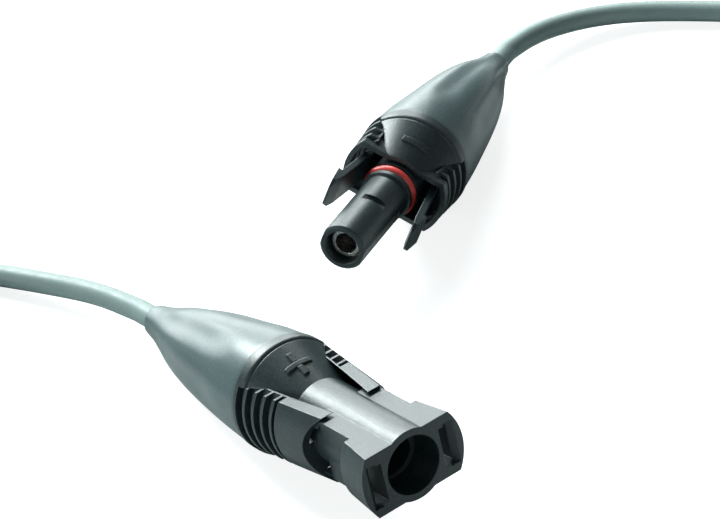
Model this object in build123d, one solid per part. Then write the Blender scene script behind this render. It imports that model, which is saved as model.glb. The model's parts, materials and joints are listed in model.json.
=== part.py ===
from build123d import *
from math import atan2, cos, degrees, pi, radians, sin, sqrt, tan
import os

# Unmated pair of single-pole solar cable connectors, millimetres, +Z up, both halves lying on z = 0.
# Each half is drawn along its own X axis, nose towards +X and flat top towards +Z, then laid down.
# The pin half starts at its front face, the socket half at the tip of its probe.

# ---- contact system
PIN_R = 2.0                 # 4 mm contact pin
PIN_SHANK_R = 2.3           # behind the floor of the guide bore
CONTACT_GAP = 0.05          # radial play between pin and socket contact
SOCKET_R = 2.65             # outside of the socket contact
SOCKET_DEPTH = 15.5         # how far the pin can go in
CONTACT_FLANGE_R = 2.95
CONTACT_FLANGE = 2.0
PIN_NOSE_ROUND = 0.6        # share of the pin's radius
LAMELLA_SPAN = (-12.0, -5.0)
LAMELLA_THICK = 0.25
LAMELLA_SLIT = 0.6
LAMELLA_GAP = 0.02
CRIMP_R = 2.6
CRIMP_DEPTH = 6.0
CONDUCTOR_R = 1.2
CONDUCTOR_END_GAP = 0.2
CONTACT_SEAT_GAP = 0.05     # radial play of a contact in its housing

# ---- mating faces, shared by both halves
OUTLINE_R = 10.2            # rounded ends of the flattened front
FLAT_Z = 5.7                # half height between the two flats
TUBE_R = 6.45               # round tube whose crown stands above the flats
PROBE_R = 4.4
PROBE_FLAT_Y = 4.1          # keyed flats on both sides of the probe
PROBE_GAP = 0.2             # radial play of the probe in its guide bore
PROBE_FLAT_END_X = -16.0
PROBE_SEAM = 37.5           # degrees, where the round wall of the probe closes, clear of flats and dent
PROBE_CHAMFER = 0.35
PROBE_OUT = 23.5            # probe length in front of the shroud
PROBE_DENT = (-12.3, -10.7) # shallow cut across the top of the probe
PROBE_DENT_DEPTH = 0.65
MOUTH_R = 5.2               # wide mouth of the pin half, sealed by the O-ring
MOUTH_DEPTH = 7.0
BLOCK_LENGTH = 7.3          # flange block that the latches pass through
BLOCK_REAR_R = 9.3
SLOT_HALF_Z = 3.6
SLOT_IN_Y = 5.9
SLOT_OUT_Y = 7.9
SLOT_LEAD_IN = 1.0

# ---- pin half body
PIN_RING_X = -37.0          # seam between housing and gland nut
PIN_TIP_X = -8.0
PIN_SEAT_X = -26.0          # the contact flange stops here
GUIDE_END_X = -24.5
WAIST_END_X = -16.0
WAIST_HALF_Y = 6.3
PIN_GRIP_FRONT_R = 8.7      # the side walls of the pin half close in towards the nose
PIN_SLOPE_LENGTH = 9.0      # from the bead down to the tube
NOTCH_R = 7.4               # round front edge of the side walls
NOTCH_DEPTH = 2.8           # how far it reaches behind the waist's end
GRIP_OVERLAP = 1.0          # how far the side walls reach over the waist
BRIDGE_LENGTH = 1.8         # ribs above and below, where the waist ends
BRIDGE_THICK = 1.2

# ---- socket half body
SOCKET_RING_X = -33.5
SHROUD_WALL = 1.0
SHROUD_FLOOR_X = -30.0
SOCKET_SEAT_X = -23.0
SOCKET_RECESS_R = 3.3
SOCKET_RECESS = 3.0
CONTACT_BACK = 1.8          # the socket contact starts this far behind the tip
ORING_R = 0.9
ORING_SQUEEZE = 0.05
ORING_X = -21.65
COLLAR_R = 4.9
COLLAR_LENGTH = 1.0
SLEEVE_R = 5.1
GROOVE_GAP = 0.1            # between the O-ring and each wall of its groove
SIDE_OVERLAP = 1.5          # how far the side walls reach over the shroud's edge

# ---- latches
LATCH_THICK = 1.2
LATCH_HALF_Z = 3.2
LATCH_LENGTH = 19.6
LATCH_BARB = 0.75
LATCH_PLAY = 0.3            # free travel between a barb and the block it hooks behind
LATCH_SPLAY = 7.5           # degrees outwards at rest
LATCH_ROOT_X = -30.9
LATCH_ROOT_Y = 6.0
KNUCKLE_R = 1.0
KNUCKLE_GAP = 0.06
LATCH_WINDOW_HALF_Y = 0.9
LATCH_WEDGE = 1.5           # length of the taper inside the barbed head
LATCH_TIP = 0.2             # half thickness at the tip
LATCH_CORNER = 1.6

# ---- grip, common to both housings
GRIP_R = 10.7
GRIP_WALL = 1.5
GRIP_HALF_Z = 6.3
BEAD_LENGTH = 2.6
BEAD_ROUND = 0.9
RIB_PITCH = 2.35
RIB_WIDTH = 0.6
RIB_DEPTH = 1.3
FIRST_GROOVE = 0.85         # from the seam
LAST_GROOVE = 0.8           # width of the narrow groove in front of the last rib
PIN_RIBS = 4
SOCKET_RIBS = 3
WALL_STEP = 0.5             # webs end this far under the outside of the side walls
SLOPE_STEP = 0.4            # slopes start this far under the top of the bead
WEB_TOP_Z = 0.8             # web between the tube and a side wall of the pin half
WEB_BOTTOM_Z = -4.2

# ---- cable gland, common to both halves, placed from the seam
SPIGOT_LENGTH = 11.0
THREAD_R = 8.7
THREAD_PITCH = 1.5
THREAD_DEPTH = 0.45
THREAD_GAP = 0.1
SEAL_R = 5.5
SEAL_GAP = 0.05
FIRST_THREAD = 2.0
SEAL_START = 3.0
SEAL_END_GAP = 0.6
SEAL_RIBS = 3
SEAL_RIB_HALF = 0.6
SEAL_RIB_HEIGHT = 0.35
CAGE_R = 5.3
CAGE_BORE_GAP = 0.15
CAGE_FLANGE_R = 7.4
CAGE_FLANGE = 1.4
CAGE_INSERT = 0.5           # how far the cage reaches into the spigot
FACE_GAP = 0.1              # between the spigot's end and the flange of the cage
CAGE_LENGTH = 12.0
CAGE_FINGERS = 6
CAGE_SLIT = 0.8
CAGE_TAPER = 0.7
TURN_GAP = 0.1              # play between the turning nut and the cage
NUT_PROFILE = [(0, 10.6), (9, 9.8), (18, 8.65), (24, 7.6), (29.5, 6.25), (34.5, 4.55), (37.5, 3.6), (41, 2.85)]
NUT_TAIL_GAP = 0.3

# ---- cable
CABLE_R = 2.1
CLIP_WIDTH = 1.2
CLIP_R = 3.6
CLIP_WALL = 0.75
CLIP_SPLIT = 2.0
CLIP_BEHIND_SEAT = 4.5
JACKET_END = 1.5            # how far the jacket reaches into the contact bore, from the seal
JACKET_TAIL = 2.0           # from the tail of the nut to where the free cable takes over
STRIPPED_LENGTH = 8.0
STRAND_R = 0.95
STRAIGHT_OUT = 6.5          # the cable runs on straight for this far behind the nut

# ---- how the halves lie: position of the origin of each half, turn, nose-up tilt and roll
NOSE_UP = 7.0
PIN_HALF = dict(at=(4.5, -62.6), yaw=-58.8, roll=-1.3, ring=PIN_RING_X)
SOCKET_HALF = dict(at=(-0.5, 1.9), yaw=-119.2, roll=-26.2, ring=SOCKET_RING_X)

# ---- how the cables lie: corners of each route behind the nut, then the coil it runs into
PIN_ROUTE = [(-45.9, 17.8, 4.1), (-53.9, 24.9, 3.0), (-63.0, 31.6, 2.3), (-73.2, 37.8, 2.2)]
PIN_COIL_START = (-83.7, 43.5)
SOCKET_ROUTE = [(44.6, 77.6, 4.4), (52.1, 81.0, 3.5), (60.4, 82.3, 2.7),
                (69.2, 81.1, 2.2), (78.6, 77.6, 2.15), (88.2, 73.3, 2.2)]
SOCKET_COIL_START = (118.4, 61.0)
TO_THE_LEFT = 1             # which way a cable turns into its coil
TO_THE_RIGHT = -1
COIL_R = 29.0               # middle of the cable where it joins the coil
COIL_TURNS = 2
COIL_PITCH = 4.3            # from one turn to the next
COIL_Z = 2.7                # middle of the cable in the coil
COIL_GAP = 0.05             # between the coil and what runs into and out of it
TAIL_LENGTH = 11.0
TAIL_TURN = 50.0            # degrees by which the free end leaves the coil inwards
TAIL_SAG = 2.5              # degrees
TIE_ANGLE = 150.0
TIE_ROUND = 0.4             # share of the strap's thickness
TIE_THICK = 0.45
TIE_WIDTH = 4.0
TIE_GAP = 0.1


def rod(radius, x0, x1, y=0, z=0):
    """Cylinder along X from x0 to x1."""
    return Pos((x0 + x1) / 2, y, z) * Rot(0, 90, 0) * Cylinder(radius, abs(x1 - x0))


def taper(x0, r0, x1, r1):
    """Cone frustum along X, radius r0 at x0 and r1 at the larger x1."""
    return Pos((x0 + x1) / 2, 0, 0) * Rot(0, 90, 0) * Cone(r0, r1, x1 - x0)


def block(x, y, z):
    """Box from three (low, high) pairs."""
    size = [high - low for low, high in (x, y, z)]
    middle = [(high + low) / 2 for low, high in (x, y, z)]
    return Pos(*middle) * Box(*size)


def both_sides(solid):
    """The solid and its mirror image across the XZ plane."""
    return solid + mirror(solid, about=Plane.XZ)


# ---------------------------------------------------------------- housings

def rear_end(ring):
    """Bead and threaded spigot; ring is the x of the seam with the nut."""
    bead_front = ring + BEAD_LENGTH
    bead = rod(GRIP_R, ring, bead_front)
    bead = fillet(bead.edges().group_by(Axis.X)[-1], BEAD_ROUND)
    spigot = rod(THREAD_R - THREAD_DEPTH, ring - SPIGOT_LENGTH, ring)
    first = ring - FIRST_THREAD
    while first > ring - SPIGOT_LENGTH + THREAD_PITCH:
        spigot += rod(THREAD_R, first - THREAD_PITCH / 2, first)
        first -= THREAD_PITCH
    return bead + spigot


def side_walls(front, front_r, ring):
    """Finger grips on both sides, from x = front back to the seam."""
    tube = taper(ring, GRIP_R, front, front_r) - taper(ring, GRIP_R - GRIP_WALL, front, front_r - GRIP_WALL)
    return tube & block((ring, front), (-GRIP_R, GRIP_R), (-GRIP_HALF_Z, GRIP_HALF_Z))


def grooves(front, front_r, ring, ribs):
    """What is cut away between the ribs of both grips, through the bead as well."""
    cut = Part()
    for index in range(ribs + 1):
        start = ring + FIRST_GROOVE + index * RIB_PITCH
        width = LAST_GROOVE if index == ribs else RIB_PITCH - RIB_WIDTH
        cut += rod(GRIP_R + 1, start, start + width)
    cut &= block((ring, front), (-GRIP_R - 1, GRIP_R + 1), (-GRIP_HALF_Z, GRIP_HALF_Z))
    return cut - taper(ring, GRIP_R - RIB_DEPTH, front, front_r - RIB_DEPTH)


def rear_bores(ring, seat):
    """Contact bore from its seat, clip groove and seal bore, all open to the rear."""
    bore_r = CONTACT_FLANGE_R + CONTACT_SEAT_GAP
    bores = rod(bore_r, ring - SEAL_START, seat)
    bores += rod(SEAL_R + SEAL_GAP, ring - SPIGOT_LENGTH - 1, ring - SEAL_START)
    half = CLIP_WIDTH / 2 + SEAL_GAP
    bores += rod(CLIP_R + SEAL_GAP, clip_x(seat) - half, clip_x(seat) + half)
    return bores


def clip_x(seat):
    return seat - CLIP_BEHIND_SEAT


def pin_housing():
    ends = taper(-BLOCK_LENGTH, BLOCK_REAR_R, 0, OUTLINE_R)
    body = ends & block((-BLOCK_LENGTH, 0), (-OUTLINE_R, OUTLINE_R), (-FLAT_Z, FLAT_Z))
    body += rod(TUBE_R, PIN_RING_X, 0)
    body += block((WAIST_END_X, 0), (-WAIST_HALF_Y, WAIST_HALF_Y), (-FLAT_Z, FLAT_Z))
    slope_front = PIN_RING_X + BEAD_LENGTH + PIN_SLOPE_LENGTH
    body += taper(PIN_RING_X + BEAD_LENGTH, GRIP_R - SLOPE_STEP, slope_front, TUBE_R)
    notch_x = WAIST_END_X - NOTCH_DEPTH + NOTCH_R
    notch = Pos(notch_x, 0, 0) * Rot(90, 0, 0) * Cylinder(NOTCH_R, 4 * GRIP_R)
    grip = (WAIST_END_X + GRIP_OVERLAP, PIN_GRIP_FRONT_R, PIN_RING_X)
    body += side_walls(*grip) - notch
    inside = PIN_GRIP_FRONT_R - WALL_STEP
    web = taper(PIN_RING_X, GRIP_R - WALL_STEP, grip[0], inside) - notch
    body += web & block((PIN_RING_X, 0), (-GRIP_R, GRIP_R), (WEB_BOTTOM_Z, WEB_TOP_Z))
    bridge_span = (WAIST_END_X - BRIDGE_LENGTH, WAIST_END_X)
    bridge = block(bridge_span, (-GRIP_R, GRIP_R), (-FLAT_Z, FLAT_Z))
    bridge -= block(bridge_span, (-GRIP_R, GRIP_R), (-FLAT_Z + BRIDGE_THICK, FLAT_Z - BRIDGE_THICK))
    body += bridge & rod(inside, PIN_RING_X, 0)
    body += rear_end(PIN_RING_X)
    body -= grooves(*grip, PIN_RIBS)
    body -= rod(MOUTH_R, -MOUTH_DEPTH, 1)
    guide = rod(PROBE_R + PROBE_GAP, GUIDE_END_X, 0)
    key = block((GUIDE_END_X, -MOUTH_DEPTH - PROBE_GAP), (PROBE_FLAT_Y + PROBE_GAP, MOUTH_R), (-MOUTH_R, MOUTH_R))
    body -= guide - key
    body -= rod(PIN_SHANK_R + CONTACT_SEAT_GAP, PIN_SEAT_X, GUIDE_END_X)
    body -= rear_bores(PIN_RING_X, PIN_SEAT_X)
    slot = block((-BLOCK_LENGTH, 1), (SLOT_IN_Y, SLOT_OUT_Y), (-SLOT_HALF_Z, SLOT_HALF_Z))
    funnel = Pos(0, SLOT_OUT_Y, 0) * Rot(0, 0, -45) * Box(
        SLOT_LEAD_IN * sqrt(2), SLOT_LEAD_IN * sqrt(2), 2 * SLOT_HALF_Z + SLOT_LEAD_IN)
    body -= both_sides(slot + funnel)
    return body


def socket_housing():
    shroud_x = -PROBE_OUT
    ring = SOCKET_RING_X
    span = (ring, shroud_x)
    body = rod(OUTLINE_R, *span) & block(span, (-OUTLINE_R, OUTLINE_R), (-FLAT_Z, FLAT_Z))
    body += rod(TUBE_R, *span)
    body += taper(ring + BEAD_LENGTH, GRIP_R - SLOPE_STEP, shroud_x, TUBE_R)
    grip = (shroud_x - SIDE_OVERLAP, OUTLINE_R, ring)
    body += side_walls(*grip)
    body += rear_end(ring)
    body -= grooves(*grip, SOCKET_RIBS)
    inner = (SHROUD_FLOOR_X, shroud_x + 1)
    hollow = rod(OUTLINE_R - SHROUD_WALL, *inner) & block(
        inner, (-OUTLINE_R, OUTLINE_R), (-FLAT_Z + SHROUD_WALL, FLAT_Z - SHROUD_WALL))
    hollow += rod(TUBE_R - SHROUD_WALL, *inner)
    body -= hollow
    groove_x = (ORING_X - ORING_R - GROOVE_GAP, ORING_X + ORING_R + GROOVE_GAP)
    body += rod(SLEEVE_R, SHROUD_FLOOR_X - 1, groove_x[0])
    probe = Rot(PROBE_SEAM, 0, 0) * rod(PROBE_R, SHROUD_FLOOR_X, 0)
    probe = chamfer(probe.edges().group_by(Axis.X)[-1], PROBE_CHAMFER)
    beside = block((PROBE_FLAT_END_X, 1), (PROBE_FLAT_Y, PROBE_R + 1), (-PROBE_R, PROBE_R))
    probe -= both_sides(beside)
    body += probe + rod(COLLAR_R, groove_x[1], groove_x[1] + COLLAR_LENGTH)
    body -= rod(SLEEVE_R, *groove_x) - rod(oring_mid_r() - ORING_R, ring, 0)
    body -= rod(SOCKET_RECESS_R, -SOCKET_RECESS, 1)
    body -= rod(SOCKET_R + CONTACT_SEAT_GAP, SOCKET_SEAT_X - 1, 0)
    body -= rear_bores(ring, SOCKET_SEAT_X)
    body -= block(PROBE_DENT, (-PROBE_R, PROBE_R), (PROBE_R - PROBE_DENT_DEPTH, PROBE_R + 1))
    body -= both_sides(latch_recess())
    return body


def oring_mid_r():
    return MOUTH_R + ORING_SQUEEZE - ORING_R


def latch_recess():
    """Pocket for a latch knuckle, open forwards, with room for the latch to swing inwards."""
    half_z = LATCH_HALF_Z + KNUCKLE_GAP
    pocket = Pos(LATCH_ROOT_X, LATCH_ROOT_Y, 0) * Cylinder(KNUCKLE_R + KNUCKLE_GAP, 2 * half_z)
    sides = (LATCH_ROOT_Y - LATCH_WINDOW_HALF_Y, LATCH_ROOT_Y + LATCH_WINDOW_HALF_Y)
    return pocket + block((LATCH_ROOT_X, SHROUD_FLOOR_X + 1), sides, (-half_z, half_z))


def latch():
    """Left latch arm: knuckle, plate and barbed wedge head, splayed outwards."""
    half = LATCH_THICK / 2
    shoulder = BLOCK_LENGTH + LATCH_PLAY - PROBE_OUT - LATCH_ROOT_X
    outline = [(0, -half), (0, half), (shoulder, half), (shoulder, half + LATCH_BARB),
               (LATCH_LENGTH, LATCH_TIP), (LATCH_LENGTH, -LATCH_TIP), (shoulder + LATCH_WEDGE, -half)]
    plate = extrude(make_face(Polyline(*outline, close=True)), LATCH_HALF_Z, both=True)
    for side in (-1, 1):
        corner = Rot(0, 45, 0) * Box(LATCH_CORNER, LATCH_LENGTH, LATCH_CORNER)
        plate -= Pos(LATCH_LENGTH, 0, side * LATCH_HALF_Z) * corner
    arm = plate + Cylinder(KNUCKLE_R, 2 * LATCH_HALF_Z)
    return Pos(LATCH_ROOT_X, LATCH_ROOT_Y, 0) * Rot(0, 0, LATCH_SPLAY) * arm


# ---------------------------------------------------------------- contacts and seals

def pin_contact():
    solid = rod(PIN_R, PIN_SEAT_X, PIN_TIP_X)
    solid = fillet(solid.edges().group_by(Axis.X)[-1], PIN_R * PIN_NOSE_ROUND)
    return solid + rod(PIN_SHANK_R, PIN_SEAT_X, GUIDE_END_X) + crimp_end(PIN_SEAT_X, PIN_RING_X)


def crimp_end(seat, ring):
    """Flange, clip groove and hollow crimp barrel of a contact."""
    solid = rod(CONTACT_FLANGE_R, seat - CONTACT_FLANGE, seat) + rod(CRIMP_R, ring, seat)
    return solid - rod(CONDUCTOR_R + CONTACT_GAP, ring, ring + CRIMP_DEPTH)


def socket_contact():
    solid = rod(SOCKET_R, SOCKET_SEAT_X - 1, -CONTACT_BACK) + crimp_end(SOCKET_SEAT_X, SOCKET_RING_X)
    solid -= rod(PIN_R + CONTACT_GAP, -CONTACT_BACK - SOCKET_DEPTH, 0)
    return solid - rod(lamella_out_r() + LAMELLA_GAP, *LAMELLA_SPAN)


def lamella_out_r():
    return PIN_R + CONTACT_GAP + LAMELLA_THICK


def lamella():
    """Louvred spring band inside the socket contact, split along its length."""
    span = (LAMELLA_SPAN[0] + LAMELLA_GAP, LAMELLA_SPAN[1] - LAMELLA_GAP)
    band = rod(lamella_out_r(), *span) - rod(PIN_R + CONTACT_GAP, *span)
    return band - block(span, (0, SOCKET_R), (-LAMELLA_SLIT / 2, LAMELLA_SLIT / 2))


def clip(seat):
    """Open spring ring that keeps a contact from being pulled back."""
    span = (clip_x(seat) - CLIP_WIDTH / 2, clip_x(seat) + CLIP_WIDTH / 2)
    ring = rod(CLIP_R, *span) - rod(CLIP_R - CLIP_WALL, *span)
    return ring - block(span, (-CLIP_SPLIT / 2, CLIP_SPLIT / 2), (0, CLIP_R))


def conductor(ring):
    return rod(CONDUCTOR_R, ring - SEAL_START + JACKET_END, ring + CRIMP_DEPTH - CONDUCTOR_END_GAP)


def jacket(ring):
    """Cable jacket inside the gland, up to the nut's tail."""
    return rod(CABLE_R, ring - nut_length() + JACKET_TAIL, ring - SEAL_START + JACKET_END)


def seal(ring):
    """Ribbed rubber grommet round the cable."""
    start = ring - SEAL_START - SEAL_GAP
    end = ring - SPIGOT_LENGTH + SEAL_END_GAP
    solid = rod(SEAL_R - SEAL_RIB_HEIGHT, end, start)
    for index in range(SEAL_RIBS):
        middle = end + (start - end) * (index + 0.5) / SEAL_RIBS
        solid += rod(SEAL_R, middle - SEAL_RIB_HALF, middle + SEAL_RIB_HALF)
    return solid - rod(CABLE_R, end, start)


def cage(ring):
    """Clamping cage: flange against the spigot, tapered fingers round the cable."""
    front = ring - SPIGOT_LENGTH + CAGE_INSERT
    flange_front = ring - SPIGOT_LENGTH - FACE_GAP
    end = front - CAGE_LENGTH
    solid = rod(CAGE_R, flange_front - CAGE_FLANGE, front)
    solid += taper(end, CAGE_R - CAGE_TAPER, flange_front - CAGE_FLANGE, CAGE_R)
    solid += rod(CAGE_FLANGE_R, flange_front - CAGE_FLANGE, flange_front)
    solid -= rod(CABLE_R + CAGE_BORE_GAP, end - 1, front + 1)
    for index in range(CAGE_FINGERS // 2):
        slit_end = flange_front - CAGE_FLANGE - CAGE_SLIT
        slit = block((end, slit_end), (-CAGE_R, CAGE_R), (-CAGE_SLIT / 2, CAGE_SLIT / 2))
        solid -= Rot(360 / CAGE_FINGERS * index, 0, 0) * slit
    return solid


def nut_length():
    return NUT_PROFILE[-1][0]


def nut(ring):
    """Gland nut: smooth tapered shell, thread bore, seat for the cage and a narrow tail."""
    outer = [(ring - back, radius) for back, radius in NUT_PROFILE]
    outline = Spline(*outer) + Polyline(outer[-1], (outer[-1][0], 0), (ring, 0), outer[0])
    solid = revolve(make_face(outline), Axis.X)
    thread_end = ring - SPIGOT_LENGTH - FACE_GAP
    flange_end = thread_end - CAGE_FLANGE - TURN_GAP
    cage_end = ring - SPIGOT_LENGTH + CAGE_INSERT - CAGE_LENGTH - TURN_GAP
    solid -= rod(THREAD_R + THREAD_GAP, thread_end, ring + 1)
    solid -= rod(CAGE_FLANGE_R + TURN_GAP, flange_end, thread_end + 1)
    solid -= taper(cage_end, CAGE_R - CAGE_TAPER + TURN_GAP, flange_end, CAGE_R + TURN_GAP)
    solid -= rod(CABLE_R + NUT_TAIL_GAP, ring - nut_length() - 1, cage_end + 1)
    return solid


# ---------------------------------------------------------------- laying the halves down

def rest_height():
    """Height of the seam's centre when the nut's belly rests on z = 0 with the nose tilted up."""
    tilt = radians(NOSE_UP)
    depth = [back * sin(tilt) + radius * cos(tilt) for back, radius in NUT_PROFILE]
    return max(depth) + 0.05


def lay(half):
    """Placement of a half, from its own axes to where it lies."""
    x, y = half["at"]
    z = rest_height() - half["ring"] * sin(radians(NOSE_UP))
    return Pos(x, y, z) * Rot(0, 0, half["yaw"]) * Rot(0, -NOSE_UP, 0) * Rot(half["roll"], 0, 0)


# ---------------------------------------------------------------- cables

def cable_tube(half, route, coil_start):
    """Free cable from the nut's tail to the coil: straight runs joined by the largest tangent arcs."""
    tail = half["ring"] - nut_length()
    out = [(lay(half) * Pos(x, 0, 0)).position for x in (tail + JACKET_TAIL, tail - STRAIGHT_OUT)]
    corners = out + [Vector(*corner) for corner in route] + [Vector(*coil_start, COIL_Z)]
    runs = [(after - before).length for before, after in zip(corners, corners[1:])]
    turns = [(b - a).get_angle(c - b) for a, b, c in zip(corners, corners[1:], corners[2:])]
    radii = [0.45 * min(pair) / tan(radians(turn / 2)) for pair, turn in zip(zip(runs, runs[1:]), turns)]
    path = FilletPolyline(*corners, radius=radii)
    print("cable", round(path.length, 1), "arc radii", [round(radius) for radius in radii])
    tube = sweep(Plane(path @ 0, z_dir=path % 0) * Circle(CABLE_R), path=path)
    print("volume", round(tube.volume, 1), "section times length", round(pi * CABLE_R**2 * path.length, 1))
    return tube


def coil_place(route, coil_start, side):
    """Centre of the coil with its X axis through the point where the cable joins it."""
    start = Vector(*coil_start, COIL_Z)
    before = Vector(*route[-1][:2], COIL_Z)
    heading = (start - before).normalized()
    inwards = Vector(-heading.Y, heading.X, 0) * side
    centre = start + inwards * COIL_R
    return Pos(*centre) * Rot(0, 0, degrees(atan2(-inwards.Y, -inwards.X)))


def coil(place):
    """Outer shape of the coiled turns: a flat ring as thick as the cable."""
    ring = Cylinder(COIL_R + CABLE_R, 2 * CABLE_R) - Cylinder(coil_inner_r(), 2 * CABLE_R)
    return place * fillet(ring.edges(), CABLE_R * 0.8)


def coil_inner_r():
    return COIL_R - COIL_PITCH * COIL_TURNS - CABLE_R


def free_end(place, side):
    """Placement of the cable's free end, which leaves the coil inwards, X pointing outwards along it."""
    turn = Rot(0, 0, side * (90 + TAIL_TURN)) * Rot(0, TAIL_SAG, 0)
    return place * Pos(coil_inner_r() + CABLE_R, 0, 0) * turn


def coil_tie(place, side):
    """Strap round all the turns at one place."""
    width = COIL_R + CABLE_R - coil_inner_r() + 2 * TIE_GAP
    height = 2 * (CABLE_R + TIE_GAP)
    strap = Box(width + 2 * TIE_THICK, TIE_WIDTH, height + 2 * TIE_THICK) - Box(width, 2 * TIE_WIDTH, height)
    strap = fillet(strap.edges().filter_by(Axis.Y), TIE_THICK * TIE_ROUND)
    middle = (COIL_R + CABLE_R + coil_inner_r()) / 2
    return place * Rot(0, 0, side * TIE_ANGLE) * Pos(middle, 0, 0) * strap


def cable_set(half, route, coil_start, side):
    """Free cable, coil, tie and stripped end of one half."""
    place = coil_place(route, coil_start, side)
    ring = coil(place)
    tail = free_end(place, side) * rod(CABLE_R, 0, TAIL_LENGTH)
    bare = free_end(place, side) * rod(STRAND_R, TAIL_LENGTH, TAIL_LENGTH + STRIPPED_LENGTH)
    tube = cable_tube(half, route, coil_start)
    outside = place * Cylinder(COIL_R + CABLE_R + COIL_GAP, 4 * CABLE_R)
    inside = place * Cylinder(coil_inner_r() - COIL_GAP, 4 * CABLE_R)
    return {
        "cable": Compound(children=[tube - outside, tail & inside]),
        "cable_coil": ring,
        "coil_tie": coil_tie(place, side),
        "stripped_end": bare,
    }


pin_side = {
    "pin_housing": pin_housing(),
    "pin_contact": pin_contact(),
    "pin_contact_clip": clip(PIN_SEAT_X),
    "pin_conductor": conductor(PIN_RING_X),
    "pin_cable_jacket": jacket(PIN_RING_X),
    "pin_cable_seal": seal(PIN_RING_X),
    "pin_clamping_cage": cage(PIN_RING_X),
    "pin_gland_nut": nut(PIN_RING_X),
}
socket_side = {
    "socket_housing": socket_housing(),
    "socket_contact": socket_contact(),
    "socket_contact_lamella": lamella(),
    "socket_contact_clip": clip(SOCKET_SEAT_X),
    "socket_conductor": conductor(SOCKET_RING_X),
    "socket_cable_jacket": jacket(SOCKET_RING_X),
    "socket_cable_seal": seal(SOCKET_RING_X),
    "socket_clamping_cage": cage(SOCKET_RING_X),
    "socket_gland_nut": nut(SOCKET_RING_X),
    "mating_o_ring": Pos(ORING_X, 0, 0) * Rot(0, 90, 0) * Torus(oring_mid_r(), ORING_R),
    "latch_left": latch(),
    "latch_right": mirror(latch(), about=Plane.XZ),
}

parts = {name: lay(PIN_HALF) * solid for name, solid in pin_side.items()}
parts.update({name: lay(SOCKET_HALF) * solid for name, solid in socket_side.items()})

for name, half, route, coil_start, side in (
        ("pin", PIN_HALF, PIN_ROUTE, PIN_COIL_START, TO_THE_LEFT),
        ("socket", SOCKET_HALF, SOCKET_ROUTE, SOCKET_COIL_START, TO_THE_RIGHT)):
    pieces = cable_set(half, route, coil_start, side)
    parts.update({f"{name}_{piece}": solid for piece, solid in pieces.items()})

os.makedirs("parts", exist_ok=True)
for name, solid in parts.items():
    export_step(solid, f"parts/{name}.step")
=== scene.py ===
import json
from math import atan2, cos, pi, radians, sin, sqrt

import bmesh
import bpy
from mathutils import Matrix, Vector


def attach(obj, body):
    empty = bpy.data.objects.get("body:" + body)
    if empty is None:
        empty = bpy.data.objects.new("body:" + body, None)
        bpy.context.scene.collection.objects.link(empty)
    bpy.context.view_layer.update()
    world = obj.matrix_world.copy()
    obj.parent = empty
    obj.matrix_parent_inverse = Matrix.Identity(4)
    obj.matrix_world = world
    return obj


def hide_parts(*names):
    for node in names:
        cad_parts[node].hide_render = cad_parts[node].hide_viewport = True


# Unmated pair of solar cable connectors. Lengths are in millimetres and are turned into metres by MM,
# but for those in materials, lights and the stage, which are in metres.
MM = 0.001

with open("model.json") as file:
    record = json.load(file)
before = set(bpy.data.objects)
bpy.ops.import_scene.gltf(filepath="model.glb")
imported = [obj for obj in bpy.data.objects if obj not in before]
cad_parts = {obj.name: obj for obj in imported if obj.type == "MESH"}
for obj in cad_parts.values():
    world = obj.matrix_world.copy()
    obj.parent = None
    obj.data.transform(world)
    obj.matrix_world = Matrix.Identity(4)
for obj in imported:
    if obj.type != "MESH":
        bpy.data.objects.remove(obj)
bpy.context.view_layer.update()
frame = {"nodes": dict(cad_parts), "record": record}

# ---- the same places as in the part's source
NOSE_UP = radians(7.0)
NUT_PROFILE = [(0, 10.6), (9, 9.8), (18, 8.65), (24, 7.6), (29.5, 6.25), (34.5, 4.55), (37.5, 3.6), (41, 2.85)]
HALVES = {
    "pin": dict(at=(4.5, -62.6), yaw=-58.8, roll=-1.3, ring=-37.0),
    "socket": dict(at=(-0.5, 1.9), yaw=-119.2, roll=-26.2, ring=-33.5),
}
CABLE_R = 2.1
CORDS = {
    "pin": dict(
        route=[(-34.58, 1.92, 6.12), (-38.95, 9.14, 5.08), (-45.9, 17.8, 4.1), (-53.9, 24.9, 3.0),
               (-63.0, 31.6, 2.3), (-73.2, 37.8, 2.2)],
        start=(-83.7, 43.5), side=1),
    "socket": dict(
        route=[(34.61, 64.72, 6.12), (38.72, 72.08, 5.08), (44.6, 77.6, 4.4), (52.1, 81.0, 3.5),
               (60.4, 82.3, 2.7), (69.2, 81.1, 2.2), (78.6, 77.6, 2.15), (88.2, 73.3, 2.2)],
        start=(118.4, 61.0), side=-1),
}
COIL_R = 29.0
COIL_Z = 2.7
COIL_PITCH = 4.3
COIL_TURNS = 2
TIE_ANGLE = 150.0


def lay(half):
    """Matrix from a half's own millimetres to where it lies, in metres."""
    x, y = half["at"]
    depth = max(back * sin(NOSE_UP) + radius * cos(NOSE_UP) for back, radius in NUT_PROFILE) + 0.05
    z = depth - half["ring"] * sin(NOSE_UP)
    turn = (Matrix.Rotation(radians(half["yaw"]), 4, "Z") @ Matrix.Rotation(-NOSE_UP, 4, "Y")
            @ Matrix.Rotation(radians(half["roll"]), 4, "X"))
    return Matrix.Scale(MM, 4) @ Matrix.Translation((x, y, z)) @ turn


PLACE = {side: lay(half) for side, half in HALVES.items()}


# ---------------------------------------------------------------- materials

GRAIN_SCALE = 2600.0
MOULDED_EDGE = 0.00022      # radius that moulded edges look rounded by

def set_in(node, **values):
    for name, value in values.items():
        node.inputs[name.replace("_", " ")].default_value = value


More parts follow.
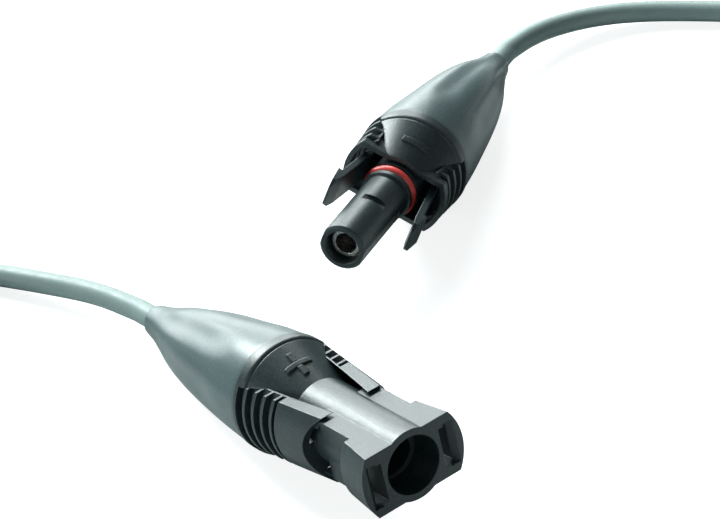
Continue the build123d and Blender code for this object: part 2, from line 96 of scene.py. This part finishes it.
class Look:
    """A procedural material: a small helper round its node tree."""

    def __init__(self, name):
        self.mat = bpy.data.materials.new(name)
        self.mat.use_nodes = True
        self.tree = self.mat.node_tree
        self.shader = self.tree.nodes["Principled BSDF"]
        self.out = self.tree.nodes["Material Output"]
        self.coords = self.add("ShaderNodeTexCoord").outputs["Object"]

    def add(self, kind, **props):
        node = self.tree.nodes.new(kind)
        for name, value in props.items():
            setattr(node, name, value)
        return node

    def link(self, source, target):
        self.tree.links.new(source, target)

    def noise(self, scale, detail=2.0, rough=0.5):
        node = self.add("ShaderNodeTexNoise")
        self.link(self.coords, node.inputs["Vector"])
        set_in(node, Scale=scale, Detail=detail, Roughness=rough)
        return node.outputs["Fac"]

    def remap(self, source, low, high, to_low, to_high):
        node = self.add("ShaderNodeMapRange")
        self.link(source, node.inputs["Value"])
        set_in(node, From_Min=low, From_Max=high, To_Min=to_low, To_Max=to_high)
        return node.outputs["Result"]

    def ramp(self, source, stops):
        node = self.add("ShaderNodeValToRGB")
        self.link(source, node.inputs["Fac"])
        node.color_ramp.elements[0].position, node.color_ramp.elements[0].color = stops[0][0], (*stops[0][1], 1)
        node.color_ramp.elements[1].position, node.color_ramp.elements[1].color = stops[-1][0], (*stops[-1][1], 1)
        for place, colour in stops[1:-1]:
            node.color_ramp.elements.new(place).color = (*colour, 1)
        return node.outputs["Color"]

    def mix(self, factor, first, second):
        node = self.add("ShaderNodeMix", data_type="RGBA")
        for value, socket in ((factor, node.inputs[0]), (first, node.inputs[6]), (second, node.inputs[7])):
            if isinstance(value, bpy.types.NodeSocket):
                self.link(value, socket)
            elif isinstance(value, tuple):
                socket.default_value = (*value, 1)
            else:
                socket.default_value = value
        return node.outputs[2]

    def bump(self, height, strength, distance, normal=None):
        node = self.add("ShaderNodeBump")
        set_in(node, Strength=strength, Distance=distance)
        self.link(height, node.inputs["Height"])
        if normal is not None:
            self.link(normal, node.inputs["Normal"])
        return node.outputs["Normal"]

    def soft_edges(self, radius):
        """Rounded-edge normal, and how far it leans from the true one: 0 on faces, up to 1 on edges."""
        edge = self.add("ShaderNodeBevel", samples=8)
        set_in(edge, Radius=radius)
        flat = self.add("ShaderNodeNewGeometry")
        dot = self.add("ShaderNodeVectorMath", operation="DOT_PRODUCT")
        self.link(edge.outputs["Normal"], dot.inputs[0])
        self.link(flat.outputs["Normal"], dot.inputs[1])
        return edge.outputs["Normal"], self.remap(dot.outputs["Value"], 0.995, 0.8, 0.0, 1.0)


def moulded(name, dark, light, edge, rough, grain):
    """Moulded plastic: fine grain, faint cloudiness, and a painted highlight: a paler colour along edges and in inner
    corners.
    """
    look = Look(name)
    cloud = look.noise(140.0, 3.0, 0.6)
    colour = look.ramp(cloud, [(0.3, dark), (0.7, light)])
    fine = look.noise(GRAIN_SCALE, 3.0, 0.65)
    # edge is the pale colour of the grain specks here and of the painted edge highlight below.
    colour = look.mix(look.remap(fine, 0.4, 0.75, 0.0, 0.22), colour, edge)
    # Painted highlight: the pale edge colour is mixed in where the rounded-edge normal leans from the true one, on
    # outer edges and inner corners alike, broken up by noise.
    normal, highlight_edge_mask = look.soft_edges(MOULDED_EDGE)
    highlight_breakup = look.remap(look.noise(500.0, 2.0), 0.25, 0.7, 0.35, 1.0)
    mask = look.add("ShaderNodeMath", operation="MULTIPLY")
    look.link(highlight_edge_mask, mask.inputs[0])
    look.link(highlight_breakup, mask.inputs[1])
    colour = look.mix(look.remap(mask.outputs[0], 0.0, 1.0, 0.0, 0.3), colour, edge)
    look.link(colour, look.shader.inputs["Base Color"])
    look.link(look.remap(look.noise(900.0, 2.0), 0.3, 0.7, rough - 0.02, rough + 0.03), look.shader.inputs["Roughness"])
    look.link(look.bump(fine, grain, 0.00006, normal), look.shader.inputs["Normal"])
    return look.mat


def nut_look():
    look = Look("nut_satin")
    cloud = look.noise(60.0, 2.0, 0.5)
    colour = look.ramp(cloud, [(0.3, (0.042, 0.067, 0.07)), (0.7, (0.054, 0.083, 0.087))])
    fine = look.noise(3000.0, 2.0, 0.6)
    colour = look.mix(look.remap(fine, 0.4, 0.7, 0.0, 0.12), colour, (0.3, 0.36, 0.36))
    look.link(colour, look.shader.inputs["Base Color"])
    normal, _ = look.soft_edges(0.0002)
    look.link(look.bump(fine, 0.14, 0.00004, normal), look.shader.inputs["Normal"])
    look.link(look.remap(look.noise(400.0), 0.3, 0.7, 0.3, 0.35), look.shader.inputs["Roughness"])
    return look.mat


def cable_look():
    look = Look("cable_jacket")
    cloud = look.noise(90.0, 3.0, 0.55)
    colour = look.ramp(cloud, [(0.3, (0.155, 0.215, 0.208)), (0.7, (0.185, 0.25, 0.242))])
    fine = look.noise(2200.0, 3.0, 0.6)
    colour = look.mix(look.remap(fine, 0.4, 0.75, 0.0, 0.2), colour, (0.28, 0.35, 0.34))
    look.link(colour, look.shader.inputs["Base Color"])
    look.link(look.bump(fine, 0.2, 0.00005), look.shader.inputs["Normal"])
    look.link(look.remap(look.noise(600.0), 0.3, 0.7, 0.44, 0.56), look.shader.inputs["Roughness"])
    return look.mat


def rubber_look(name, dark, light, rough):
    look = Look(name)
    colour = look.ramp(look.noise(300.0, 3.0, 0.6), [(0.3, dark), (0.7, light)])
    look.link(colour, look.shader.inputs["Base Color"])
    look.link(look.bump(look.noise(3500.0, 2.0), 0.15, 0.00003), look.shader.inputs["Normal"])
    look.link(look.remap(look.noise(700.0), 0.3, 0.7, rough - 0.05, rough + 0.06), look.shader.inputs["Roughness"])
    return look.mat


def metal_look(name, tint, dull, rough):
    look = Look(name)
    set_in(look.shader, Metallic=1.0)
    cloud = look.noise(300.0, 2.0, 0.5)
    look.link(look.ramp(cloud, [(0.3, dull), (0.7, tint)]), look.shader.inputs["Base Color"])
    look.link(look.remap(look.noise(1800.0, 3.0), 0.3, 0.7, rough - 0.03, rough + 0.04), look.shader.inputs["Roughness"])
    normal, _ = look.soft_edges(0.0001)
    look.link(look.bump(look.noise(4000.0, 2.0), 0.04, 0.00002, normal), look.shader.inputs["Normal"])
    return look.mat


# The fourth colour given to moulded() is the pale colour for grain specks and for the painted edge highlight.
HOUSING = moulded("housing_moulded", (0.010, 0.018, 0.020), (0.015, 0.025, 0.028), (0.08, 0.12, 0.13), 0.37, 0.5)
NUT = nut_look()
CABLE = cable_look()
ORING = rubber_look("o_ring_rubber", (0.62, 0.045, 0.04), (0.78, 0.085, 0.075), 0.34)
SEAL = rubber_look("seal_rubber", (0.012, 0.013, 0.013), (0.022, 0.024, 0.024), 0.6)
CAGE = moulded("cage_moulded", (0.36, 0.38, 0.37), (0.42, 0.44, 0.43), (0.55, 0.57, 0.56), 0.42, 0.25)
TIE = moulded("tie_moulded", (0.012, 0.013, 0.014), (0.02, 0.021, 0.022), (0.06, 0.065, 0.065), 0.38, 0.2)
COPPER = metal_look("tinned_copper", (0.80, 0.78, 0.74), (0.72, 0.70, 0.66), 0.24)
SPRING = metal_look("spring_metal", (0.86, 0.86, 0.85), (0.70, 0.70, 0.69), 0.18)

BY_SLOT = {
    "housing_plastic": HOUSING, "nut_plastic": NUT, "cage_plastic": CAGE, "seal_rubber": SEAL, "o_ring_rubber": ORING,
    "cable_jacket": CABLE, "tinned_copper": COPPER, "spring_metal": SPRING, "tie_plastic": TIE,
}


for row in frame["record"]["subparts"]:
    node = frame["nodes"][row["node"]]
    for place in node.material_slots:
        place.link = "OBJECT"
        place.material = BY_SLOT[row["material_slot"]]


# ---------------------------------------------------------------- mesh helpers

def make(name, verts, faces, mat, matrix=None, smooth_angle=35.0):
    """Mesh object from plain lists, outward normals, smooth but for edges over smooth_angle."""
    mesh = bpy.data.meshes.new(name)
    mesh.from_pydata([tuple(v) for v in verts], [], faces)
    mesh.materials.append(mat)
    if matrix is not None:
        mesh.transform(matrix)
    work = bmesh.new()
    work.from_mesh(mesh)
    bmesh.ops.remove_doubles(work, verts=work.verts, dist=1e-7)
    bmesh.ops.recalc_face_normals(work, faces=work.faces)
    for edge in work.edges:
        edge.smooth = len(edge.link_faces) == 2 and edge.calc_face_angle(0.0) < radians(smooth_angle)
    for face in work.faces:
        face.smooth = True
    work.to_mesh(mesh)
    work.free()
    obj = bpy.data.objects.new(name, mesh)
    bpy.context.scene.collection.objects.link(obj)
    return obj


def lathe(rows, segments, radius_at=None):
    """Closed ring of profile points (x, r) turned about X; radius_at(x, r, angle) may shape it."""
    verts, faces = [], []
    for x, r in rows:
        for step in range(segments):
            angle = 2 * pi * step / segments
            rr = radius_at(x, r, angle) if radius_at else r
            verts.append((x, rr * cos(angle), rr * sin(angle)))
    count = len(rows)
    for i in range(count):
        j = (i + 1) % count
        for step in range(segments):
            nxt = (step + 1) % segments
            faces.append((i * segments + step, i * segments + nxt, j * segments + nxt, j * segments + step))
    return verts, faces


def spline_at(points, t):
    """Smooth cubic through (t, value) points."""
    for i in range(len(points) - 1):
        (t0, v0), (t1, v1) = points[i], points[i + 1]
        if t <= t1:
            before = points[i - 1] if i else points[i]
            after = points[i + 2] if i + 2 < len(points) else points[i + 1]
            m0 = (v1 - before[1]) / (t1 - before[0])
            m1 = (after[1] - v0) / (after[0] - t0)
            h = t1 - t0
            s = (t - t0) / h
            return ((2 * s**3 - 3 * s**2 + 1) * v0 + (s**3 - 2 * s**2 + s) * h * m0
                    + (3 * s**2 - 2 * s**3) * v1 + (s**3 - s**2) * h * m1)
    return points[-1][1]


def smoothstep(low, high, value):
    s = min(1.0, max(0.0, (value - low) / (high - low)))
    return s * s * (3 - 2 * s)


# ---------------------------------------------------------------- gland nuts

FLUTES = 6
FLUTE_DEPTH = 0.55


def gland_nut(side, first_flute):
    """Tapered nut with faint broad flutes, and the bores of the part's own nut."""
    ring = HALVES[side]["ring"]
    length = NUT_PROFILE[-1][0]

    def shaped(x, r, angle):
        back = ring - x
        outside = spline_at(NUT_PROFILE, min(max(back, 0), length))
        if r < outside - 0.6:
            return r
        reach = smoothstep(5.0, 15.0, back) * (1 - smoothstep(29.0, 38.0, back))
        wave = 0.5 + 0.5 * cos(FLUTES * angle + first_flute)
        return r - FLUTE_DEPTH * reach * wave**1.5

    rows = [(ring - 0.02, 10.35), (ring - 0.05, 10.5), (ring - 0.18, spline_at(NUT_PROFILE, 0.18) - 0.03)]
    steps = 72
    for i in range(1, steps):
        back = 0.3 + (length - 0.55) * i / (steps - 1) if i > 1 else 0.4
        rows.append((ring - back, spline_at(NUT_PROFILE, back)))
    rows += [(ring - length + 0.08, 2.8), (ring - length, 2.68), (ring - length, 2.5), (ring - length + 0.15, 2.4)]
    rows += [(ring - 22.6, 2.4), (ring - 22.6, 4.7), (ring - 12.6, 5.4), (ring - 12.6, 7.5), (ring - 11.1, 7.5),
              (ring - 11.1, 8.8), (ring - 0.3, 8.8), (ring - 0.02, 9.1)]
    verts, faces = lathe(rows, 216, shaped)
    nut = make(f"{side}_nut_shell", verts, faces, NUT, PLACE[side])
    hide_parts(f"{side}_gland_nut")
    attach(nut, f"{side}_nut")


gland_nut("pin", 0.4)
gland_nut("socket", 1.9)


# ---------------------------------------------------------------- cables

TURN_POINTS = 16
STRAIGHT_SHARE = 0.75       # keeps the lead straight where a loosened nut slides over it
TAIL_SWEEP = 0.55


def coil_frame(cord):
    """Centre of the coil and the angle at which the cable joins it."""
    start = Vector(cord["start"])
    heading = (start - Vector(cord["route"][-1][:2])).normalized()
    inwards = Vector((-heading.y, heading.x)) * cord["side"]
    return start + inwards * COIL_R, atan2(-inwards.y, -inwards.x)


def cord_points(cord):
    """Control points: the route, then the turns of the coil, then the free end curling inwards."""
    centre, first = coil_frame(cord)
    points = [Vector(p) for p in cord["route"]]
    points.insert(1, points[0].lerp(points[1], STRAIGHT_SHARE))
    grow = 1 / (0.5 + 0.5 * cos(2 * pi / TURN_POINTS)) ** 0.5
    total = COIL_TURNS * TURN_POINTS
    for i in range(total + 3):
        angle = 2 * pi * i / TURN_POINTS
        turned = first + cord["side"] * angle
        radius = COIL_R - COIL_PITCH * angle / (2 * pi)
        over = i - (total - 3)
        if over > 0:
            radius -= TAIL_SWEEP * over * over * 0.5
        radius = radius * grow if i else radius
        points.append(Vector((centre.x + radius * cos(turned), centre.y + radius * sin(turned), COIL_Z)))
    return points


def centreline(obj):
    """Points along a curve's own line."""
    bevel = obj.data.bevel_depth
    obj.data.bevel_depth = 0.0
    bpy.context.view_layer.update()
    mesh = bpy.data.meshes.new_from_object(obj.evaluated_get(bpy.context.evaluated_depsgraph_get()))
    line = [v.co.copy() for v in mesh.vertices]
    bpy.data.meshes.remove(mesh)
    obj.data.bevel_depth = bevel
    return line


def strands(side, end, direction):
    """Bare conductor at the free end: a twisted bundle of tinned wires, slightly fanned."""
    length, wires, wire_r, sides = 8.0, 7, 0.3, 8
    across = direction.orthogonal().normalized()
    third = direction.cross(across)
    verts, faces = [], []
    steps = 40
    for wire in range(wires):
        base = len(verts)
        for k in range(steps + 1):
            along = length * k / steps
            fan = 1 + 0.28 * smoothstep(0.5, 1.0, k / steps)
            angle = 2 * pi * wire / (wires - 1) + along * 0.62
            off = 0.0 if wire == 0 else 2 * wire_r * fan * 1.02
            mid = end + direction * (along - 0.3 - 0.25 * (wire % 3) * (k == steps)) \
                + (across * cos(angle) + third * sin(angle)) * off
            for m in range(sides):
                turn = 2 * pi * m / sides
                verts.append(mid + (across * cos(turn) + third * sin(turn)) * wire_r)
        for k in range(steps):
            for m in range(sides):
                n = (m + 1) % sides
                a, b = base + k * sides, base + (k + 1) * sides
                faces.append((a + m, a + n, b + n, b + m))
        faces.append(tuple(base + m for m in range(sides)))
        faces.append(tuple(base + steps * sides + m for m in range(sides)))
    piece = make(f"{side}_bare_strands", verts, faces, COPPER, Matrix.Scale(MM, 4))
    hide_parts(f"{side}_stripped_end")
    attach(piece, f"{side}_half")
    return piece


def coil_tie(side, cord):
    """Strap round the two turns, with teeth on top."""
    centre, first = coil_frame(cord)
    angle = first + cord["side"] * radians(TIE_ANGLE)
    out = Vector((cos(angle), sin(angle), 0))
    along = Vector((-sin(angle), cos(angle), 0))
    up = Vector((0, 0, 1))
    middle = Vector((centre.x, centre.y, COIL_Z)) + out * (COIL_R - COIL_PITCH * (TIE_ANGLE / 360 + 0.5))
    half_w = COIL_PITCH / 2 + CABLE_R + 0.12
    half_h = CABLE_R + 0.12
    thick, width, corner = 0.4, 3.8, 1.7
    loop = []
    for cx, cz, a0 in ((1, 1, 0), (-1, 1, 90), (-1, -1, 180), (1, -1, 270)):
        for step in range(7):
            a = radians(a0 + 15 * step)
            loop.append((cx * (half_w - corner), cz * (half_h - corner), a))
    verts, faces = [], []
    for x, z, a in loop:
        for r, y in ((corner, -width / 2), (corner, width / 2), (corner + thick, width / 2 - 0.12),
                     (corner + thick, -width / 2 + 0.12)):
            verts.append(middle + out * (x + r * cos(a)) + up * (z + r * sin(a)) + along * y)
    count = len(loop)
    for i in range(count):
        j = (i + 1) % count
        for m in range(4):
            n = (m + 1) % 4
            faces.append((i * 4 + m, i * 4 + n, j * 4 + n, j * 4 + m))
    for k in range(5):
        x = -half_w + corner + 0.6 + k * 0.85
        base = len(verts)
        z = half_h + thick
        for dx, dz in ((0, -0.05), (0.5, -0.05), (0.42, 0.12), (0.08, 0.12)):
            for y in (-width / 2 + 0.7, width / 2 - 0.7):
                verts.append(middle + out * (x + dx) + up * (z + dz) + along * y)
        faces += [(base, base + 1, base + 3, base + 2), (base + 2, base + 3, base + 5, base + 4),
                  (base + 4, base + 5, base + 7, base + 6), (base + 6, base + 7, base + 1, base),
                  (base, base + 2, base + 4, base + 6), (base + 1, base + 3, base + 5, base + 7)]
    strap = make(f"{side}_strap", verts, faces, TIE, Matrix.Scale(MM, 4))
    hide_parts(f"{side}_coil_tie")
    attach(strap, f"{side}_half")
    return strap


for side, cord in CORDS.items():
    data = bpy.data.curves.new(f"{side}_lead", "CURVE")
    data.dimensions = "3D"
    line = data.splines.new("NURBS")
    points = cord_points(cord)
    line.points.add(len(points) - 1)
    for point, spot in zip(line.points, points):
        point.co = (*(spot * MM), 1.0)
    line.order_u = 3
    line.use_endpoint_u = True
    line.resolution_u = 12
    data.bevel_depth = CABLE_R * MM
    data.bevel_resolution = 8
    data.use_fill_caps = True
    data.materials.append(CABLE)
    lead = bpy.data.objects.new(f"{side}_lead", data)
    bpy.context.scene.collection.objects.link(lead)
    path = centreline(lead)
    end, before = path[-1] / MM, path[-4] / MM
    bare = strands(side, end, (end - before).normalized())
    tie = coil_tie(side, cord)
    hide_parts(f"{side}_cable", f"{side}_cable_coil")
    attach(lead, f"{side}_half")


# ---------------------------------------------------------------- polarity marks

def mark(side, strokes, foot, top, roll):
    """Raised strokes on the slope in front of the bead. foot and top are (x, radius) of the slope's ends."""
    verts, faces = [], []
    slope = atan2(foot[1] - top[1], top[0] - foot[0])

    def on_cone(u, v, lift):
        """u mm across, v mm forwards from the middle of the slope, lift mm above it."""
        share = 0.5 + v / sqrt((top[0] - foot[0])**2 + (foot[1] - top[1])**2)
        x = foot[0] + (top[0] - foot[0]) * share + lift * sin(slope)
        r = foot[1] + (top[1] - foot[1]) * share + lift * cos(slope)
        angle = pi / 2 + u / r + roll
        return x, r * cos(angle), r * sin(angle)

    for u0, v0, u1, v1, half in strokes:
        length = sqrt((u1 - u0)**2 + (v1 - v0)**2)
        du, dv = (u1 - u0) / length, (v1 - v0) / length
        nu, nv = -dv, du
        base = len(verts)
        cuts = 12
        for k in range(cuts + 1):
            s = length * k / cuts
            for off, lift in ((-half, -0.25), (-half, 0.2), (-half + 0.12, 0.3), (half - 0.12, 0.3), (half, 0.2),
                              (half, -0.25)):
                verts.append(on_cone(u0 + du * s + nu * off, v0 + dv * s + nv * off, lift))
        for k in range(cuts):
            for m in range(6):
                n = (m + 1) % 6
                a, b = base + 6 * k, base + 6 * (k + 1)
                faces.append((a + m, a + n, b + n, b + m))
        faces.append(tuple(base + m for m in range(6)))
        faces.append(tuple(base + 6 * cuts + m for m in range(6)))
    piece = make(f"{side}_polarity_mark", verts, faces, HOUSING, PLACE[side])
    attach(piece, f"{side}_half")


ARM = 2.6
MARK_HALF = 0.55            # half the width of a stroke
across = (-ARM, 0, ARM, 0, MARK_HALF)
upper, lower = (0, 0.56, 0, ARM, MARK_HALF), (0, -0.56, 0, -ARM, MARK_HALF)
mark("pin", [across, upper, lower], (-34.4, 10.3), (-25.4, 6.45), 0.0)
mark("socket", [across], (-30.9, 10.3), (-23.5, 6.45), 0.0)


# ---------------------------------------------------------------- stage, light and camera

def plane(name, size, height, mat):
    mesh = bpy.data.meshes.new(name)
    s = size / 2
    mesh.from_pydata([(-s, -s, height), (s, -s, height), (s, s, height), (-s, s, height)], [], [(0, 1, 2, 3)])
    mesh.materials.append(mat)
    obj = bpy.data.objects.new(name, mesh)
    bpy.context.scene.collection.objects.link(obj)
    return obj


FLOOR_GLOW = 0.8            # what the floor gives off towards the camera


def floor_material():
    """Pale floor that looks white to the camera where it is lit and keeps the object's shadow."""
    mat = bpy.data.materials.new("pale_floor")
    mat.use_nodes = True
    tree = mat.node_tree
    shader = tree.nodes["Principled BSDF"]
    set_in(shader, Base_Color=(0.5, 0.52, 0.52, 1), Roughness=0.9)
    shader.inputs["Specular IOR Level"].default_value = 0.1
    rays = tree.nodes.new("ShaderNodeLightPath")
    level = tree.nodes.new("ShaderNodeMath")
    level.operation = "MULTIPLY"
    level.inputs[1].default_value = FLOOR_GLOW
    tree.links.new(rays.outputs["Is Camera Ray"], level.inputs[0])
    tree.links.new(level.outputs[0], shader.inputs["Emission Strength"])
    set_in(shader, Emission_Color=(1, 1, 1, 1))
    return mat


floor = plane("floor", 6.0, -0.0003, floor_material())

world = bpy.data.worlds.new("studio")
bpy.context.scene.world = world
world.use_nodes = True
tree = world.node_tree
background = tree.nodes["Background"]
rays = tree.nodes.new("ShaderNodeLightPath")
white = tree.nodes.new("ShaderNodeBackground")
set_in(white, Color=(1, 1, 1, 1), Strength=1.0)
set_in(background, Color=(0.88, 0.99, 1.0, 1), Strength=0.17)
blend = tree.nodes.new("ShaderNodeMixShader")
tree.links.new(rays.outputs["Is Camera Ray"], blend.inputs[0])
tree.links.new(background.outputs[0], blend.inputs[1])
tree.links.new(white.outputs[0], blend.inputs[2])
tree.links.new(blend.outputs[0], tree.nodes["World Output"].inputs["Surface"])


def softbox(name, spot, target, size, power, tint):
    data = bpy.data.lights.new(name, "AREA")
    data.shape = "RECTANGLE"
    data.size, data.size_y = size
    data.energy = power
    data.color = tint
    lamp = bpy.data.objects.new(name, data)
    bpy.context.scene.collection.objects.link(lamp)
    lamp.location = spot
    lamp.rotation_euler = (Vector(target) - Vector(spot)).to_track_quat("-Z", "Y").to_euler()


softbox("key", (-0.38, 0.6, 0.55), (0, 0.02, 0), (0.25, 0.45), 7.0, (0.9, 1.0, 0.99))
softbox("rim", (-0.25, 0.9, 0.14), (0, 0.03, 0.01), (1.0, 0.22), 5.0, (0.92, 1.0, 0.99))
softbox("side", (-0.7, -0.35, 0.2), (0, -0.02, 0), (0.3, 0.3), 3.0, (0.88, 1.0, 1.0))
softbox("back", (-0.12, 0.75, 0.6), (0, 0.02, 0), (0.9, 0.3), 15.0, (0.92, 1.0, 0.99))
softbox("front", (0.2, -0.75, 0.25), (0, 0, 0), (0.7, 0.3), 0.5, (0.9, 1.0, 1.0))

camera_data = bpy.data.cameras.new("camera")
camera_data.lens = 160.0
camera_data.sensor_width = 36.0
camera_data.clip_start, camera_data.clip_end = 0.01, 20.0
camera = bpy.data.objects.new("camera", camera_data)
bpy.context.scene.collection.objects.link(camera)
AIM = Vector((2.3, 18.6, 0.0)) * MM
DISTANCE = 591.24 * MM
ELEVATION = radians(35.147)
CAMERA_ROLL = radians(10.964)
forward = Vector((0, cos(ELEVATION), -sin(ELEVATION)))
level_right = Vector((1, 0, 0))
level_down = forward.cross(level_right)
right = cos(CAMERA_ROLL) * level_right + sin(CAMERA_ROLL) * level_down
down = -sin(CAMERA_ROLL) * level_right + cos(CAMERA_ROLL) * level_down
axes = Matrix((right, -down, -forward)).transposed().to_4x4()
camera.matrix_world = Matrix.Translation(AIM - forward * DISTANCE) @ axes
bpy.context.scene.camera = camera
bpy.context.scene.view_settings.view_transform = "Standard"
